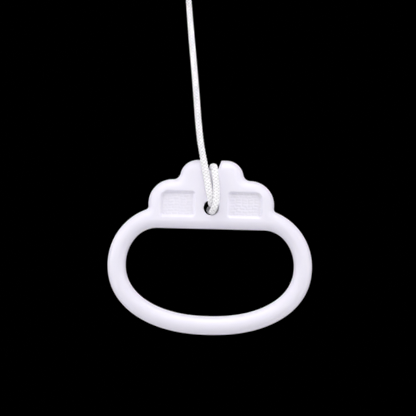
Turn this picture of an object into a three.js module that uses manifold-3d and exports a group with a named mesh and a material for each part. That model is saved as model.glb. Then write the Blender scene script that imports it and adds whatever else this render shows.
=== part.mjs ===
// Ceiling pull cord switch: a round surface-mounted switch body holding a sprung changeover
// mechanism, a braided cord that works it, and a moulded finger-ring handle on the cord.
// Millimetres, +Z up. z = 0 is the ceiling, the origin is the centre of the base plate's
// ceiling face, and -Y is the side that faces the user.
import * as THREE from 'three';
import { mergeVertices } from 'three/addons/utils/BufferGeometryUtils.js';
import Module from 'manifold-3d';

const wasm = await Module();
wasm.setup();

// ---------------------------------------------------------------- driving dimensions
const GAP = 0.3;

const BASE_RADIUS = 38.5;
const BASE_BOTTOM = -3;
const FIXING_X = 25.4;
const FIXING_WIDTH = 5;
const FIXING_LENGTH = 10;
const PILLAR_XY = 21.2;
const PILLAR_BOTTOM = -16.5;
const BOSS_X = 14.5;
const BOSS_Y = 6;
const BOSS_BOTTOM = -6;
const CABLE_Y = -24;
const CABLE_WIDTH = 20;
const CABLE_DEPTH = 12;
const EARTH_X = 22;
const EARTH_Y = -14;

const RIM_RADIUS = 42;
const RIM_TOP = -0.4;
const DOME_TOP = -7;
const DOME_RADIUS = 40.5;
const DOME_DROP = 27;
const WALL = 2;
const COLLAR_BOTTOM = -39.5;
const OUTLET_HOLE = 5.5;
const OUTLET_MOUTH = -41.5;
const COVER_SEAT = -19.8;

const HOUSING_X = 11;
const HOUSING_TOP = -3.2;
const HOUSING_FLOOR = -28.5;
const REAR_FLOOR = -21.5;
const PIVOT_Y = 13.7;
const PIVOT_Z = -12.5;
const ROCKER_REST = -16.6 * Math.PI / 180;
const CONTACT_Y = 21.5;
const TERMINAL_X = 10;
const TERMINAL_Y = 30.7;
const TERMINAL_BOTTOM = -13;

const LUG_Z = -8.5;
const CUP_RADIUS = 5.6;
const PLUNGER_BOTTOM = -13;
const SPRING_RADIUS = 4.2;
const SPRING_WIRE = 0.8;
const SPRING_BOTTOM = -26.7;

const CORD_RADIUS = 1.4;
const SWING_PIVOT_Z = -42;
const TILT_PIVOT_Z = -112;
const PIVOT_GAP = 0.8;

const HANDLE_AT = new THREE.Vector3(9.5, 3.6, -161.3);
const HANDLE_TURN = 1.4 * Math.PI / 180;
const THICKNESS = 8;
const EDGE_ROUND = 2.6;
const RING_HALF = 45;
const RING_CORNER = 25.9;
const RING_DROP = 30.65;
const SHOULDER_SINK = 0.25;
const OPENING_HALF = 37.05;
const OPENING_DROP = 22.5;
const BAR_UNDERSIDE = 15.95;
const UNDERSIDE_FILLET = 12.5;
const LOWER_LOBE = { x: 17, y: 26.8, r: 10.65 };
const UPPER_LOBE = { x: 6.4, y: 38.6, r: 7.55 };
const NOTCH_FLOOR = 41.9;
const NOTCH_HALF = 2.52;
const NOTCH_FLARE = 0.36;
const HOLE_Y = 25.4;
const HOLE_RADIUS = 3.35;
const PANEL_X = 14.75;
const PANEL_Y = 26.8;
const PANEL_DEPTH = 1.4;

const WHITE = { color: 0xf1eff6, roughness: 0.32, metalness: 0 };
const INNER_PLASTIC = { color: 0xe4dfd2, roughness: 0.5, metalness: 0 };
const RUBBER = { color: 0x2b2b2d, roughness: 0.8, metalness: 0 };
const BRASS = { color: 0xc7a354, roughness: 0.32, metalness: 1 };
const STEEL = { color: 0xb8babd, roughness: 0.3, metalness: 1 };
const SILVER = { color: 0xd9d9dc, roughness: 0.25, metalness: 1 };
const CORD = { color: 0xf4f2f0, roughness: 0.85, metalness: 0 };

// ---------------------------------------------------------------- solids
function outwardIndex(geometry) {
  const position = geometry.attributes.position;
  const index = geometry.index.array;
  const kept = [];
  const a = new THREE.Vector3();
  const b = new THREE.Vector3();
  const c = new THREE.Vector3();
  let volume = 0;
  for (let i = 0; i < index.length; i += 3) {
    const corners = [index[i], index[i + 1], index[i + 2]];
    if (new Set(corners).size < 3) continue;
    kept.push(corners);
    a.fromBufferAttribute(position, corners[0]);
    b.fromBufferAttribute(position, corners[1]);
    c.fromBufferAttribute(position, corners[2]);
    volume += a.dot(b.cross(c));
  }
  return volume > 0 ? kept.flat() : kept.map(([p, q, r]) => [p, r, q]).flat();
}

function solidOf(geometry) {
  geometry.deleteAttribute('normal');
  geometry.deleteAttribute('uv');
  const shared = mergeVertices(geometry, 1e-4);
  if (!shared.index) throw new Error('geometry has no index');
  const mesh = new wasm.Mesh({
    numProp: 3,
    vertProperties: new Float32Array(shared.attributes.position.array),
    triVerts: new Uint32Array(outwardIndex(shared)),
  });
  return new wasm.Manifold(mesh);
}

function geometryOf(solid) {
  const mesh = solid.getMesh();
  const geometry = new THREE.BufferGeometry();
  geometry.setAttribute('position', new THREE.BufferAttribute(mesh.vertProperties, 3));
  geometry.setIndex(new THREE.BufferAttribute(mesh.triVerts, 1));
  geometry.computeVertexNormals();
  return geometry;
}

const join = (first, ...others) => others.reduce((sum, other) => sum.add(other), first);
const cut = (first, ...others) => others.reduce((rest, other) => rest.subtract(other), first);

// A box between two corners, listed axis by axis.
function box([x0, x1], [y0, y1], [z0, z1]) {
  const geometry = new THREE.BoxGeometry(x1 - x0, y1 - y0, z1 - z0);
  return solidOf(geometry.translate((x0 + x1) / 2, (y0 + y1) / 2, (z0 + z1) / 2));
}

// A cylinder, or a cone frustum, standing along Z between two heights.
function rod(x, y, [z0, z1], radius, sides = 16, topRadius = radius) {
  const geometry = new THREE.CylinderGeometry(topRadius, radius, z1 - z0, sides);
  return solidOf(geometry.rotateX(Math.PI / 2).translate(x, y, (z0 + z1) / 2));
}

function rodAlongX([x0, x1], y, z, radius, sides = 16) {
  const geometry = new THREE.CylinderGeometry(radius, radius, x1 - x0, sides);
  return solidOf(geometry.rotateZ(Math.PI / 2).translate((x0 + x1) / 2, y, z));
}

function rodAlongY(x, [y0, y1], z, radius, sides = 16, farRadius = radius) {
  const geometry = new THREE.CylinderGeometry(farRadius, radius, y1 - y0, sides);
  return solidOf(geometry.translate(x, (y0 + y1) / 2, z));
}

// A profile of [radius, z] points turned about the Z axis.
function turned(profile, sides) {
  const points = profile.map(([r, z]) => new THREE.Vector2(r, z));
  return solidOf(new THREE.LatheGeometry(points, sides).rotateX(Math.PI / 2));
}

// An outline in X and Y raised from z0 to z1.
function raised(shape, [z0, z1], curveSegments = 4) {
  const options = { depth: z1 - z0, bevelEnabled: false, curveSegments };
  return solidOf(new THREE.ExtrudeGeometry(shape, options).translate(0, 0, z0));
}

// A rectangle with its own radius at each corner, from lower left, counterclockwise.
function roundedRectangle(cx, cy, width, height, [r0, r1, r2, r3]) {
  const x0 = cx - width / 2;
  const x1 = cx + width / 2;
  const y0 = cy - height / 2;
  const y1 = cy + height / 2;
  const shape = new THREE.Shape();
  shape.absarc(x0 + r0, y0 + r0, r0, Math.PI, Math.PI * 1.5);
  shape.absarc(x1 - r1, y0 + r1, r1, Math.PI * 1.5, Math.PI * 2);
  shape.absarc(x1 - r2, y1 - r2, r2, 0, Math.PI / 2);
  shape.absarc(x0 + r3, y1 - r3, r3, Math.PI / 2, Math.PI);
  return shape;
}

// A round bar of the given radius along a smooth curve through the points.
function tube(points, radius, sides, steps) {
  const section = new THREE.Shape();
  for (let i = 0; i < sides; i += 1) {
    const angle = 2 * Math.PI * i / sides;
    const corner = [radius * Math.cos(angle), radius * Math.sin(angle)];
    if (i === 0) section.moveTo(...corner);
    else section.lineTo(...corner);
  }
  const route = new THREE.CatmullRomCurve3(points.map((p) => new THREE.Vector3(...p)));
  return solidOf(new THREE.ExtrudeGeometry(section, { steps, extrudePath: route }));
}

const assembly = new THREE.Group();

function add(name, solid, finish, parent = assembly) {
  const mesh = new THREE.Mesh(geometryOf(solid), new THREE.MeshStandardMaterial(finish));
  mesh.name = name;
  parent.add(mesh);
  return mesh;
}

// ---------------------------------------------------------------- screws
// A pan-head screw driven upwards: its head hangs below seatZ and its shank ends at tipZ.
function screw(x, y, seatZ, tipZ, shankRadius, headRadius, headHeight, crossed) {
  const body = turned([
    [0, seatZ - headHeight],
    [headRadius * 0.65, seatZ - headHeight],
    [headRadius, seatZ - headHeight * 0.45],
    [headRadius, seatZ],
    [shankRadius, seatZ],
    [shankRadius, tipZ - shankRadius * 0.7],
    [0, tipZ],
  ], 12);
  const half = 0.4;
  const reach = crossed ? headRadius * 0.6 : headRadius * 1.2;
  const depth = [seatZ - headHeight - 1, seatZ - headHeight * 0.4];
  const slot = box([-reach, reach], [-half, half], depth);
  const driven = crossed ? cut(body, slot, box([-half, half], [-reach, reach], depth)) : cut(body, slot);
  return driven.translate([x, y, 0]);
}

// ---------------------------------------------------------------- base plate
function buildBase() {
  const disc = rod(0, 0, [BASE_BOTTOM, 0], BASE_RADIUS, 48);
  const raisedParts = [];
  const holes = [];
  for (const side of [-1, 1]) {
    const pillar = [side * PILLAR_XY, side * PILLAR_XY];
    raisedParts.push(rod(...pillar, [PILLAR_BOTTOM, BASE_BOTTOM + 1], 3.2));
    holes.push(rod(...pillar, [PILLAR_BOTTOM - 1, -6], 1.8, 12));
    raisedParts.push(rod(side * BOSS_X, BOSS_Y, [BOSS_BOTTOM, BASE_BOTTOM + 1], 3));
    holes.push(rod(side * BOSS_X, BOSS_Y, [BOSS_BOTTOM - 1, -1.2], 1.4, 12));
    const slot = roundedRectangle(side * FIXING_X, 0, FIXING_WIDTH, FIXING_LENGTH, [2.4, 2.4, 2.4, 2.4]);
    holes.push(raised(slot, [BASE_BOTTOM - 1, 1]));
  }
  const cradleX = [EARTH_X - 5.3, EARTH_X + 5.3];
  const cradleY = [EARTH_Y - 3, EARTH_Y + 3];
  raisedParts.push(box(cradleX, cradleY, [-9, BASE_BOTTOM + 1]));
  holes.push(box([EARTH_X - 4 - GAP, EARTH_X + 4 + GAP], [EARTH_Y - 5, EARTH_Y + 5], [-10, -6]));
  const cable = roundedRectangle(0, CABLE_Y, CABLE_WIDTH, CABLE_DEPTH, [4, 4, 4, 4]);
  holes.push(raised(cable, [BASE_BOTTOM - 1, 1]));
  add('base_plate', cut(join(disc, ...raisedParts), ...holes), WHITE);

  const inset = 2 * GAP;
  const neck = roundedRectangle(0, CABLE_Y, CABLE_WIDTH - inset, CABLE_DEPTH - inset, [3.7, 3.7, 3.7, 3.7]);
  const lip = roundedRectangle(0, CABLE_Y, CABLE_WIDTH + 3, CABLE_DEPTH + 3, [5.5, 5.5, 5.5, 5.5]);
  const passage = roundedRectangle(0, CABLE_Y, CABLE_WIDTH - 4.4, CABLE_DEPTH - 4.4, [2.5, 2.5, 2.5, 2.5]);
  const lipZ = BASE_BOTTOM - GAP;
  const grommet = join(raised(neck, [lipZ - 0.5, -0.3]), raised(lip, [lipZ - 1.3, lipZ]));
  add('cable_grommet', cut(grommet, raised(passage, [lipZ - 3, 1])), RUBBER);
}

// ---------------------------------------------------------------- cover and cord outlet
// Points [radius, z] on the cover's elliptical dome, between two radii.
function domePoints(radius, drop, fromRadius, toRadius, steps) {
  const from = Math.acos(fromRadius / radius);
  const to = Math.acos(toRadius / radius);
  const points = [];
  for (let i = 0; i <= steps; i += 1) {
    const angle = from + (to - from) * i / steps;
    points.push([radius * Math.cos(angle), DOME_TOP - drop * Math.sin(angle)]);
  }
  return points;
}

function buildCover() {
  const innerRadius = DOME_RADIUS - WALL;
  const profile = [
    [RIM_RADIUS, RIM_TOP],
    [RIM_RADIUS, DOME_TOP + 0.6],
    [RIM_RADIUS - 0.6, DOME_TOP],
    ...domePoints(DOME_RADIUS, DOME_DROP, DOME_RADIUS, 9.2, 9),
    [8.3, COLLAR_BOTTOM + 0.6],
    [7.7, COLLAR_BOTTOM],
    [OUTLET_HOLE, COLLAR_BOTTOM],
    ...domePoints(innerRadius, DOME_DROP - WALL, OUTLET_HOLE, innerRadius, 8),
    [innerRadius + 0.7, DOME_TOP + 0.5],
    [innerRadius + 0.7, RIM_TOP],
    [RIM_RADIUS, RIM_TOP],
  ];
  let shell = turned(profile, 40);
  const inside = turned([
    [0, DOME_TOP - DOME_DROP + 0.6],
    ...domePoints(DOME_RADIUS - 0.7, DOME_DROP - 0.7, 1, DOME_RADIUS - 0.7, 8),
    [0, DOME_TOP],
  ], 40);
  for (const side of [-1, 1]) {
    const at = [side * PILLAR_XY, side * PILLAR_XY];
    const boss = rod(...at, [-30, PILLAR_BOTTOM - GAP], 4.9, 20).intersect(inside);
    shell = join(shell, boss);
  }
  for (const side of [-1, 1]) {
    const at = [side * PILLAR_XY, side * PILLAR_XY];
    shell = cut(shell, rod(...at, [-32, COVER_SEAT], 3.7, 20), rod(...at, [-22, -14], 1.9, 12));
    const name = side > 0 ? 'cover_screw_right' : 'cover_screw_left';
    add(name, screw(...at, COVER_SEAT - GAP, -8, 1.5, 3.2, 2, true), STEEL);
  }
  add('cover', shell, WHITE);
}

function buildCordOutlet() {
  const bore = 2.3;
  const mouth = 4.6;
  const profile = [[bore, -30.3]];
  const bellTop = OUTLET_MOUTH + 4;
  for (let i = 0; i <= 5; i += 1) {
    const angle = Math.PI / 2 * i / 5;
    profile.push([mouth - (mouth - bore) * Math.cos(angle), bellTop - 4 * Math.sin(angle)]);
  }
  const flangeTop = COLLAR_BOTTOM - GAP;
  profile.push([6.5, OUTLET_MOUTH], [7.2, OUTLET_MOUTH + 0.7], [7.2, flangeTop], [5.2, flangeTop]);
  profile.push([5.2, -31.4], [6, -31.3], [5.5, -30.3], [bore, -30.3]);
  add('cord_outlet', turned(profile, 24), WHITE);
}

// ---------------------------------------------------------------- mechanism housing
function buildHousing() {
  const shell = join(
    box([-HOUSING_X, HOUSING_X], [-9, 9], [HOUSING_FLOOR, HOUSING_TOP]),
    box([-HOUSING_X, HOUSING_X], [8, 26], [REAR_FLOOR, HOUSING_TOP]),
    box([-14.2, 14.2], [25, 34.5], [-4.7, HOUSING_TOP]),
    box([-5.6, -4.4], [25, 34.5], [-14, HOUSING_TOP]),
    box([4.4, 5.6], [25, 34.5], [-14, HOUSING_TOP]),
    box([-BOSS_X, BOSS_X], [BOSS_Y - 3.2, BOSS_Y + 3.2], [-8.8, BOSS_BOTTOM - GAP]),
    rod(-BOSS_X, BOSS_Y, [-8.8, BOSS_BOTTOM - GAP], 3.2),
    rod(BOSS_X, BOSS_Y, [-8.8, BOSS_BOTTOM - GAP], 3.2),
  );
  const hollow = cut(
    shell,
    box([-9, 9], [-7, 8], [-27, 0]),
    box([-9, 9], [7, 24], [-20, 0]),
    box([-9.9, 9.9], [-1.6, 1.6], [-20, 0]),
    rod(0, 0, [-30, -26], 2.2, 12),
    rodAlongX([-12, 12], PIVOT_Y, PIVOT_Z, 1.6, 12),
    box([-1.9, 1.9], [23, 27], [-6.2, -4.7]),
    box([-1.9, 1.9], [23, 27], [-20, -18.7]),
    box([5.4, 8.6], [23, 27], [-13.3, -11.7]),
    rod(-BOSS_X, BOSS_Y, [-10, 0], 1.5, 12),
    rod(BOSS_X, BOSS_Y, [-10, 0], 1.5, 12),
  );
  add('mechanism_housing', hollow, INNER_PLASTIC);
  for (const side of [-1, 1]) {
    const name = side > 0 ? 'housing_screw_right' : 'housing_screw_left';
    add(name, screw(side * BOSS_X, BOSS_Y, -9.1, -2, 1.1, 2.4, 1.6, true), STEEL);
  }
}

// ---------------------------------------------------------------- plunger and spring
function buildPlunger() {
  const cup = turned([
    [1.9, PLUNGER_BOTTOM],
    [5.9, PLUNGER_BOTTOM],
    [5.9, PLUNGER_BOTTOM + 2],
    [CUP_RADIUS, PLUNGER_BOTTOM + 2.4],
    [CUP_RADIUS, -4.5],
    [4.4, -4.5],
    [4.4, -11],
    [1.9, -11],
    [1.9, PLUNGER_BOTTOM],
  ], 24);
  const lugs = [-1, 1].map((side) => {
    const span = side > 0 ? [5, 9.6] : [-9.6, -5];
    return rodAlongX(span, 0, LUG_Z, 1.2, 12);
  });
  add('plunger', join(cup, ...lugs), INNER_PLASTIC);

  const turns = 5;
  const top = PLUNGER_BOTTOM - GAP - SPRING_WIRE / 2;
  const bottom = SPRING_BOTTOM + SPRING_WIRE / 2;
  const points = [];
  for (let i = 0; i <= turns * 12; i += 1) {
    const angle = 2 * Math.PI * i / 12;
    const along = i / (turns * 12);
    const z = top + (bottom - top) * along;
    points.push([SPRING_RADIUS * Math.cos(angle), SPRING_RADIUS * Math.sin(angle), z]);
  }
  add('return_spring', tube(points, SPRING_WIRE / 2, 6, 70), STEEL);
}

// ---------------------------------------------------------------- rocker and contacts
// The rocker is drawn level about its pivot, then turned to the angle it has at rest.
function buildRocker() {
  const group = new THREE.Group();
  group.position.set(0, PIVOT_Y, PIVOT_Z);
  group.rotation.x = ROCKER_REST;
  assembly.add(group);

  const arms = [-1, 1].map((side) => {
    const span = side > 0 ? [6.2, 8.6] : [-8.6, -6.2];
    const arm = box(span, [-16.5, -3.6], [-2.8, 2.8]);
    return cut(arm, box([span[0] - 1, span[1] + 1], [-17, -12], [-1.5, 1.5]));
  });
  const frame = join(
    rodAlongX([-5.4, 5.4], 0, 0, 3.2, 20),
    box([-8.6, 8.6], [-6.8, -3.6], [-1.6, 1.6]),
    box([-5.4, 5.4], [-5, 0], [-1.6, 1.6]),
    box([-3.5, 3.5], [0, 6.8], [0.3, 2.2]),
    rod(0, 5.4, [-1.2, 1], 0.8, 12),
    rod(0, 5.4, [-1.6, -0.9], 1.6, 12),
    ...arms,
  );
  add('rocker', cut(frame, rodAlongX([-6, 6], 0, 0, 1.65, 16)), INNER_PLASTIC, group);

  const blade = box([-3, 3], [3.5, 10.2], [-0.6, 0]);
  const bladeHoles = [rod(0, 5.4, [-2, 2], 1.1, 12), rod(0, 8.5, [-2, 2], 1, 12)];
  add('moving_contact', cut(blade, ...bladeHoles), BRASS, group);
  const rivet = turned([[0, -1.5], [1.1, -1.5], [1.4, -1.2], [1.4, -0.9], [0.7, -0.9], [0.7, 0.3],
    [1.4, 0.3], [1.4, 0.6], [1.1, 0.9], [0, 0.9]], 12);
  add('moving_rivet', rivet.translate([0, 8.5, 0]), SILVER, group);

  add('rocker_pin', rodAlongX([-10.8, 10.8], PIVOT_Y, PIVOT_Z, 1.3, 16), STEEL);
  add('closed_rivet', rod(0, CONTACT_Y, [-18.9, -17], 1.8, 12, 1.5), SILVER);
  add('open_rivet', rod(0, CONTACT_Y, [-8.5, -6.1], 1.5, 12, 1.8), SILVER);
}

// A brass clamp block with a wire hole along Y and its screw hole below.
function terminalBlock(x) {
  const body = box([x - 3.5, x + 3.5], [TERMINAL_Y - 3.5, TERMINAL_Y + 3.5], [TERMINAL_BOTTOM, -5]);
  const wireHole = rodAlongY(x, [TERMINAL_Y - 2.4, TERMINAL_Y + 5], -8.2, 1.9, 12);
  return { body, holes: [wireHole, rod(x, TERMINAL_Y, [TERMINAL_BOTTOM - 1, -8.2], 1.6, 12)] };
}

function buildTerminals() {
  const strips = {
    open_terminal: [0, box([-1.5, 1.5], [19.8, 28], [-5.8, -5])],
    common_terminal: [TERMINAL_X, join(
      box([5.8, 8.2], [PIVOT_Y, 28], [-12.9, -12.1]),
      rodAlongX([5.8, 8.2], PIVOT_Y, PIVOT_Z, 2.6, 16),
    )],
    closed_terminal: [-TERMINAL_X, join(
      box([-1.5, 1.5], [19.6, 27.4], [-19.9, -19.1]),
      box([-11.5, 1.5], [26.5, 27.4], [-19.9, -19.1]),
      box([-11.5, -8.5], [26.5, 27.4], [-19.9, -6]),
    )],
  };
  for (const [name, [x, strip]] of Object.entries(strips)) {
    const { body, holes } = terminalBlock(x);
    const eyelet = rodAlongX([5, 9], PIVOT_Y, PIVOT_Z, 1.6, 12);
    add(name, cut(join(body, strip), eyelet, ...holes), BRASS);
    const seat = TERMINAL_BOTTOM - GAP;
    add(`${name}_screw`, screw(x, TERMINAL_Y, seat, -10.4, 1.3, 2.6, 1.7, false), STEEL);
  }
  const block = box([EARTH_X - 4, EARTH_X + 4], [EARTH_Y - 3.5, EARTH_Y + 3.5], [-11.3, -6.3]);
  const wireHole = rodAlongY(EARTH_X, [EARTH_Y - 5, EARTH_Y + 5], -8.4, 1.5, 12);
  const screwHole = rod(EARTH_X, EARTH_Y, [-12, -8.4], 1.6, 12);
  add('earth_terminal', cut(block, wireHole, screwHole), BRASS);
  add('earth_screw', screw(EARTH_X, EARTH_Y, -11.6, -10.1, 1.3, 2.6, 1.7, false), STEEL);
}

// ---------------------------------------------------------------- cord
const HANDLE_PLANE = HANDLE_AT.y;

// The free cord, from below the outlet to just above the handle's front face.
const PULL_ROUTE = [
  [0.1, -0.02, SWING_PIVOT_Z - PIVOT_GAP],
  [0.7, -0.25, -51],
  [1.65, -0.6, -63],
  [2.7, -1, -75],
  [3.6, -1.35, -86],
  [4.45, -1.7, -97.6],
  [5.35, -1.85, -106.4],
  [6.1, -2, TILT_PIVOT_Z + PIVOT_GAP],
];

// The wrap: down the front, through the hole, up the back, over the notch, down the front again
// and into the hole. Each point is x, the distance behind the handle's mid-plane, and z.
const WRAP_ROUTE = [
  [6.38, -5.4, TILT_PIVOT_Z - PIVOT_GAP],
  [7.74, -5.5, -120.5],
  [8.8, -5.5, -126],
  [9.48, -5.55, -129.5],
  [9.95, -5.15, -132.3],
  [10.2, -3.4, -134.2],
  [10.25, 0, -134.6],
  [10.25, 3.4, -134.2],
  [10.3, 5.15, -132.3],
  [10.35, 5.55, -129.5],
  [10.45, 5.5, -125],
  [10.55, 5.5, -121.8],
  [10.65, 4.75, -119.3],
  [10.8, 2.75, -117.95],
  [11, 0, -117.7],
  [11.25, -2.75, -117.95],
  [11.5, -4.75, -119.3],
  [11.95, -5.55, -121.8],
  [12.28, -5.85, -125.5],
  [12.42, -6.35, -129],
  [12.37, -7.1, -132],
  [12.1, -7.5, -134],
  [11.5, -7.15, -135.9],
  [10.85, -5.6, -137.2],
  [10.5, -3.4, -137.7],
  [10.35, 0, -137.75],
  [10.35, 4, -137.75],
];

const END_KNOT = { x: 10.35, y: 8.2, z: -138, r: 3.7 };

// A rounded lump in place of an overhand knot, slightly taller than wide.
function knot(x, y, z, radius) {
  const geometry = new THREE.SphereGeometry(radius, 14, 9);
  return solidOf(geometry.translate(x, y, z));
}

function buildCord() {
  add('cord_top_knot', knot(0, 0, -6.6, 3.1), CORD);
  add('knot_washer', turned([[1.7, -10.7], [3.9, -10.7], [3.9, -10.1], [1.7, -10.1], [1.7, -10.7]], 20), STEEL);
  add('cord_stub', tube([[0, 0, -10], [0, 0, -26], [0, 0, SWING_PIVOT_Z]], CORD_RADIUS, 8, 6), CORD);
  add('pull_cord', tube(PULL_ROUTE, CORD_RADIUS, 8, 12), CORD);
  const wrap = WRAP_ROUTE.map(([x, y, z]) => [x, y + HANDLE_PLANE, z]);
  add('cord_wrap', tube(wrap, CORD_RADIUS - 0.1, 8, 60), CORD);
  add('cord_end_knot', knot(END_KNOT.x, END_KNOT.y + HANDLE_PLANE, END_KNOT.z, END_KNOT.r), CORD);
}

// ---------------------------------------------------------------- handle
// Points on an arc by the shorter way round, leaving out its first point.
function arc(circle, from, to, steps) {
  const sweep = Math.atan2(Math.sin(to - from), Math.cos(to - from));
  const points = [];
  for (let i = 1; i <= steps; i += 1) {
    const angle = from + sweep * i / steps;
    points.push([circle.x + circle.r * Math.cos(angle), circle.y + circle.r * Math.sin(angle)]);
  }
  return points;
}

const bearing = (from, to) => Math.atan2(to.y - from.y, to.x - from.x);

// The circle of the given radius that nestles in the corner outside two overlapping circles,
// on the right of the way from the first to the second.
function filletOutside(first, second, radius) {
  const reach = first.r + radius;
  const distance = Math.hypot(second.x - first.x, second.y - first.y);
  const along = (distance ** 2 + reach ** 2 - (second.r + radius) ** 2) / (2 * distance);
  const angle = bearing(first, second) - Math.acos(along / reach);
  return { x: first.x + reach * Math.cos(angle), y: first.y + reach * Math.sin(angle), r: radius };
}

// A quarter of a superellipse below the axis, from its right end to its lowest point.
function superellipseQuarter(halfWidth, drop, power, steps) {
  const points = [];
  for (let i = 0; i <= steps; i += 1) {
    const angle = Math.PI / 2 * i / steps;
    const x = halfWidth * Math.cos(angle) ** (2 / power);
    points.push([x, -drop * Math.sin(angle) ** (2 / power)]);
  }
  return points;
}

// A closed outline from its right half, listed from the lowest point to the highest.
function mirrored(rightHalf) {
  const left = rightHalf.slice().reverse().filter(([x]) => x > 1e-6).map(([x, y]) => [-x, y]);
  return rightHalf.concat(left).map(([x, y]) => new THREE.Vector2(x, y));
}

function handleOutline() {
  const corner = { x: RING_HALF - RING_CORNER, y: -SHOULDER_SINK, r: RING_CORNER };
  const ringFillet = filletOutside(corner, LOWER_LOBE, 1.5);
  const lobeFillet = filletOutside(LOWER_LOBE, UPPER_LOBE, 3.2);
  const right = superellipseQuarter(RING_HALF, RING_DROP, 2.21, 12).reverse();
  right.push(
    ...arc(corner, 0, bearing(corner, ringFillet), 8),
    ...arc(ringFillet, bearing(ringFillet, corner), bearing(ringFillet, LOWER_LOBE), 3),
    ...arc(LOWER_LOBE, bearing(LOWER_LOBE, ringFillet), bearing(LOWER_LOBE, lobeFillet), 8),
    ...arc(lobeFillet, bearing(lobeFillet, LOWER_LOBE), bearing(lobeFillet, UPPER_LOBE), 3),
    ...arc(UPPER_LOBE, bearing(UPPER_LOBE, lobeFillet), Math.PI / 2, 7),
  );
  return mirrored(right);
}

function openingOutline() {
  const radius = RING_CORNER - (RING_HALF - OPENING_HALF);
  const corner = { x: RING_HALF - RING_CORNER, y: 0, r: radius };
  const rise = BAR_UNDERSIDE - UNDERSIDE_FILLET;
  const across = Math.sqrt((radius - UNDERSIDE_FILLET) ** 2 - rise ** 2);
  const fillet = { x: corner.x + across, y: rise, r: UNDERSIDE_FILLET };
  const right = superellipseQuarter(OPENING_HALF, OPENING_DROP, 2.2, 10).reverse();
  right.push(
    ...arc(corner, 0, bearing(corner, fillet), 4),
    ...arc(fillet, bearing(corner, fillet), Math.PI / 2, 4),
  );
  return mirrored(right);
}

// A cutter that lies in the handle's plane, from one depth behind the mid-plane to another.
function pressed(shape, [y0, y1], curveSegments = 3) {
  const options = { depth: y1 - y0, bevelEnabled: false, curveSegments };
  const geometry = new THREE.ExtrudeGeometry(shape, options);
  return solidOf(geometry.rotateX(Math.PI / 2).translate(0, y1, 0));
}

function notchCutters() {
  const topHalf = NOTCH_HALF + 6 * NOTCH_FLARE;
  const notch = new THREE.Shape();
  notch.moveTo(-NOTCH_HALF, NOTCH_FLOOR);
  notch.lineTo(NOTCH_HALF, NOTCH_FLOOR);
  notch.lineTo(topHalf, NOTCH_FLOOR + 6);
  notch.lineTo(-topHalf, NOTCH_FLOOR + 6);
  const chamfers = [-1, 1].map((side) => {
    const geometry = new THREE.BoxGeometry(2 * NOTCH_HALF, 3.4, 3.4);
    geometry.rotateX(Math.PI / 4);
    return solidOf(geometry.translate(0, side * (THICKNESS / 2 + 0.1), NOTCH_FLOOR + 0.3));
  });
  return [pressed(notch, [-6, 6]), ...chamfers];
}

function holeCutters() {
  const face = THICKNESS / 2;
  const rim = 1.2;
  return [
    rodAlongY(0, [-6, 6], HOLE_Y, HOLE_RADIUS, 20),
    rodAlongY(0, [-face - 0.3, -face + rim], HOLE_Y, HOLE_RADIUS + rim + 0.3, 20, HOLE_RADIUS),
    rodAlongY(0, [face - rim, face + 0.3], HOLE_Y, HOLE_RADIUS, 20, HOLE_RADIUS + rim + 0.3),
  ];
}

function panelCutters() {
  const face = THICKNESS / 2;
  const cutters = [];
  for (const side of [-1, 1]) {
    const radii = side > 0 ? [1.2, 1.2, 3, 1.2] : [1.2, 1.2, 1.2, 3];
    const panel = roundedRectangle(side * PANEL_X, PANEL_Y, 14.8, 11, radii);
    cutters.push(pressed(panel, [-face - 1, -face + PANEL_DEPTH]));
    cutters.push(pressed(panel, [face - PANEL_DEPTH, face + 1]));
  }
  return cutters;
}

function buildHandle() {
  const shape = new THREE.Shape(handleOutline());
  shape.holes.push(new THREE.Path(openingOutline()));
  const geometry = new THREE.ExtrudeGeometry(shape, {
    depth: THICKNESS - 2 * EDGE_ROUND,
    bevelThickness: EDGE_ROUND,
    bevelSize: EDGE_ROUND,
    bevelOffset: -EDGE_ROUND,
    bevelSegments: 3,
  });
  geometry.rotateX(Math.PI / 2).translate(0, THICKNESS / 2 - EDGE_ROUND, 0);
  const group = new THREE.Group();
  group.position.copy(HANDLE_AT);
  group.rotation.y = HANDLE_TURN;
  assembly.add(group);
  const body = cut(solidOf(geometry), ...holeCutters(), ...notchCutters(), ...panelCutters());
  add('pull_handle', body, WHITE, group);
}

buildBase();
buildCover();
buildCordOutlet();
buildHousing();
buildPlunger();
buildRocker();
buildTerminals();
buildCord();
buildHandle();

export default assembly;
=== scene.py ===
"""Looks of the ceiling pull cord switch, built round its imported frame.

Metres, +Z up, ceiling at z = 0, front towards -Y. The finger-ring handle hangs on a braided cord
that is wrapped through its hole and over its notch, and the round switch body sits at the top.
"""

import math

import bmesh
import bpy
import numpy as np
from mathutils import Matrix, Vector


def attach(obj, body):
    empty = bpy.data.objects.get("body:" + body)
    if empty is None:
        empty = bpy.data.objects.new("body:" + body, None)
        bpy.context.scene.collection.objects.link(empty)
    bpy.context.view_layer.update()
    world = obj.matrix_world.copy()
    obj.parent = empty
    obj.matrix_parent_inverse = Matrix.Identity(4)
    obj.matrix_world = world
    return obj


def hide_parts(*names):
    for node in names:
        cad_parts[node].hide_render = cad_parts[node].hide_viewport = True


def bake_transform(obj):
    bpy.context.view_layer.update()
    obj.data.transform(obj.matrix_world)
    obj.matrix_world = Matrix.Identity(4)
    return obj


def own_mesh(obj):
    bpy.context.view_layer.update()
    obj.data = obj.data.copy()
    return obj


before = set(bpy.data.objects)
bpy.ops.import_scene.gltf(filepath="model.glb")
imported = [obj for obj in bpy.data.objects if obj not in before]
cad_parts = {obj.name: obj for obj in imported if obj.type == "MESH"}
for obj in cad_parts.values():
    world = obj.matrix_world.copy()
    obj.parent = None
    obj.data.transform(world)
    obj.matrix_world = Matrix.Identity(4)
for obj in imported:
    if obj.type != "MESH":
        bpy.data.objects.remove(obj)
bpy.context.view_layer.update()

MM = 0.001
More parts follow.
